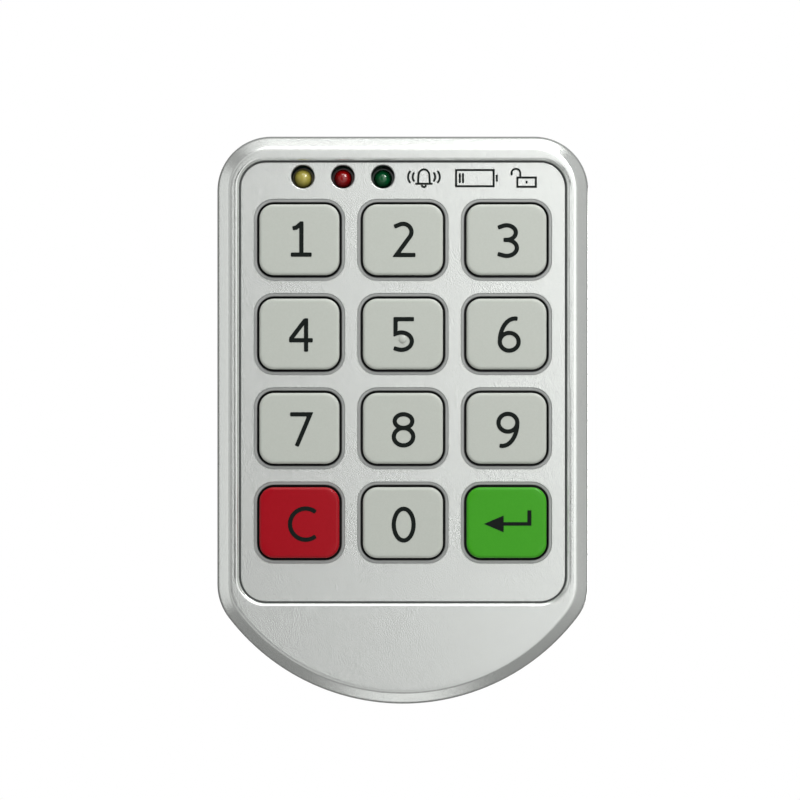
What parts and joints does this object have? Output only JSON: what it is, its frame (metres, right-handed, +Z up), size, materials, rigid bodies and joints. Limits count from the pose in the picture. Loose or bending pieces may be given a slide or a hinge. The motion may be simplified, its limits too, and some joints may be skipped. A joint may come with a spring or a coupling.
{
  "type": "electronic cabinet lock",
  "caption": "Keypad cabinet lock: silver keypad housing with an arched chin outside the door, and a battery-powered case inside it whose motor drives a sliding bolt.",
  "frame": {"origin": "middle of the keypad unit's back face, which lies on the door's outer face, at half the keypad housing's height", "axes": "+X right as the keys are read, and the way the bolt comes out; +Y from the keypad through the door; +Z up"},
  "size_m": [0.065, 0.0545, 0.099],
  "materials": {
    "silver_paint": "satin silver paint with a fine grain",
    "key_grey": "satin",
    "key_red": "satin",
    "key_green": "satin",
    "silicone": "matte",
    "board_green": "solder mask",
    "yellow_lens": "tinted, diffused",
    "red_lens": "tinted",
    "green_lens": "tinted",
    "black_plastic": "moulded",
    "white_nylon": "moulded",
    "cast_zinc": "as cast",
    "steel": "zinc plated",
    "brass": "machined",
    "cell_wrap": "printed film over a metal can",
    "case_grey": "fine moulded texture"
  },
  "bodies": {
    "lock_body": {"front_housing": "silver_paint", "keypad_mat": "silicone", "yellow_lamp": "yellow_lens", "red_lamp": "red_lens", "green_lamp": "green_lens", "key_board": "board_green", "buzzer": "black_plastic", "key_chip": "black_plastic", "key_socket": "white_nylon", "back_plate": "cast_zinc", "cover_screw_1": "steel", "cover_screw_2": "steel", "cover_screw_3": "steel", "cover_screw_4": "steel", "base_plate": "cast_zinc", "door_screw_upper": "steel", "door_screw_lower": "steel", "bolt_keeper": "steel", "keeper_screw_1": "steel", "keeper_screw_2": "steel", "drive_axle": "steel", "idler_axle": "steel", "motor": "steel", "motor_board": "board_green", "motor_socket": "white_nylon", "driver_chip": "black_plastic", "rear_case": "case_grey", "case_screw_left": "steel", "case_screw_right": "steel", "cell_1": "cell_wrap", "cell_2": "cell_wrap", "cell_3": "cell_wrap", "cell_4": "cell_wrap", "contact_positive": "steel", "contact_top_bridge": "steel", "contact_negative": "steel", "contact_low_bridge_left": "steel", "contact_low_bridge_right": "steel", "battery_spring_1": "steel", "battery_spring_2": "steel", "battery_spring_3": "steel", "battery_spring_4": "steel"},
    "key_1": {"key_1": "key_grey"},
    "key_2": {"key_2": "key_grey"},
    "key_3": {"key_3": "key_grey"},
    "key_4": {"key_4": "key_grey"},
    "key_5": {"key_5": "key_grey"},
    "key_6": {"key_6": "key_grey"},
    "key_7": {"key_7": "key_grey"},
    "key_8": {"key_8": "key_grey"},
    "key_9": {"key_9": "key_grey"},
    "key_clear": {"key_clear": "key_red"},
    "key_0": {"key_0": "key_grey"},
    "key_enter": {"key_enter": "key_green"},
    "bolt": {"bolt": "steel"},
    "drive_gear": {"drive_gear": "white_nylon"},
    "idler_gear": {"idler_gear": "white_nylon"},
    "motor_pinion": {"motor_pinion": "brass"},
    "battery_cover": {"battery_cover": "case_grey"}
  },
  "joints": [
    {"name": "key_1_press", "type": "slide", "parent": "lock_body", "child": "key_1", "axis": [0, 1, 0], "range_m": [0, 0.001], "stiffness_N_per_m": 1200, "deforming": ["keypad_mat"]},
    {"name": "key_2_press", "type": "slide", "parent": "lock_body", "child": "key_2", "axis": [0, 1, 0], "range_m": [0, 0.001], "stiffness_N_per_m": 1200, "deforming": ["keypad_mat"]},
    {"name": "key_3_press", "type": "slide", "parent": "lock_body", "child": "key_3", "axis": [0, 1, 0], "range_m": [0, 0.001], "stiffness_N_per_m": 1200, "deforming": ["keypad_mat"]},
    {"name": "key_4_press", "type": "slide", "parent": "lock_body", "child": "key_4", "axis": [0, 1, 0], "range_m": [0, 0.001], "stiffness_N_per_m": 1200, "deforming": ["keypad_mat"]},
    {"name": "key_5_press", "type": "slide", "parent": "lock_body", "child": "key_5", "axis": [0, 1, 0], "range_m": [0, 0.001], "stiffness_N_per_m": 1200, "deforming": ["keypad_mat"]},
    {"name": "key_6_press", "type": "slide", "parent": "lock_body", "child": "key_6", "axis": [0, 1, 0], "range_m": [0, 0.001], "stiffness_N_per_m": 1200, "deforming": ["keypad_mat"]},
    {"name": "key_7_press", "type": "slide", "parent": "lock_body", "child": "key_7", "axis": [0, 1, 0], "range_m": [0, 0.001], "stiffness_N_per_m": 1200, "deforming": ["keypad_mat"]},
    {"name": "key_8_press", "type": "slide", "parent": "lock_body", "child": "key_8", "axis": [0, 1, 0], "range_m": [0, 0.001], "stiffness_N_per_m": 1200, "deforming": ["keypad_mat"]},
    {"name": "key_9_press", "type": "slide", "parent": "lock_body", "child": "key_9", "axis": [0, 1, 0], "range_m": [0, 0.001], "stiffness_N_per_m": 1200, "deforming": ["keypad_mat"]},
    {"name": "key_clear_press", "type": "slide", "parent": "lock_body", "child": "key_clear", "axis": [0, 1, 0], "range_m": [0, 0.001], "stiffness_N_per_m": 1200, "deforming": ["keypad_mat"]},
    {"name": "key_0_press", "type": "slide", "parent": "lock_body", "child": "key_0", "axis": [0, 1, 0], "range_m": [0, 0.001], "stiffness_N_per_m": 1200, "deforming": ["keypad_mat"]},
    {"name": "key_enter_press", "type": "slide", "parent": "lock_body", "child": "key_enter", "axis": [0, 1, 0], "range_m": [0, 0.001], "stiffness_N_per_m": 1200, "deforming": ["keypad_mat"]},
    {"name": "bolt_slide", "type": "slide", "parent": "lock_body", "child": "bolt", "axis": [1, 0, 0], "range_m": [0, 0.01]},
    {"name": "drive_turn", "type": "hinge", "parent": "lock_body", "child": "drive_gear", "pos_m": [0.008, 0.0294, 0.02714], "axis": [0, 1, 0], "range_deg": [0, 143.3]},
    {"name": "idler_turn", "type": "hinge", "parent": "lock_body", "child": "idler_gear", "pos_m": [-0.002, 0.032, 0.02714], "axis": [0, 1, 0], "range_deg": [-429.8, 0]},
    {"name": "motor_turn", "type": "hinge", "parent": "lock_body", "child": "motor_pinion", "pos_m": [-0.012, 0.032, 0.02714], "axis": [0, 1, 0], "range_deg": [0, 1289.2]},
    {"name": "cover_slide", "type": "slide", "parent": "lock_body", "child": "battery_cover", "axis": [0, 0, -1], "range_m": [0, 0.04]}
  ],
  "couplings": [
    {"joint": "drive_turn", "follows": "bolt_slide", "rad_per_m": 250},
    {"joint": "idler_turn", "follows": "bolt_slide", "rad_per_m": -750},
    {"joint": "motor_turn", "follows": "bolt_slide", "rad_per_m": 2250}
  ]
}
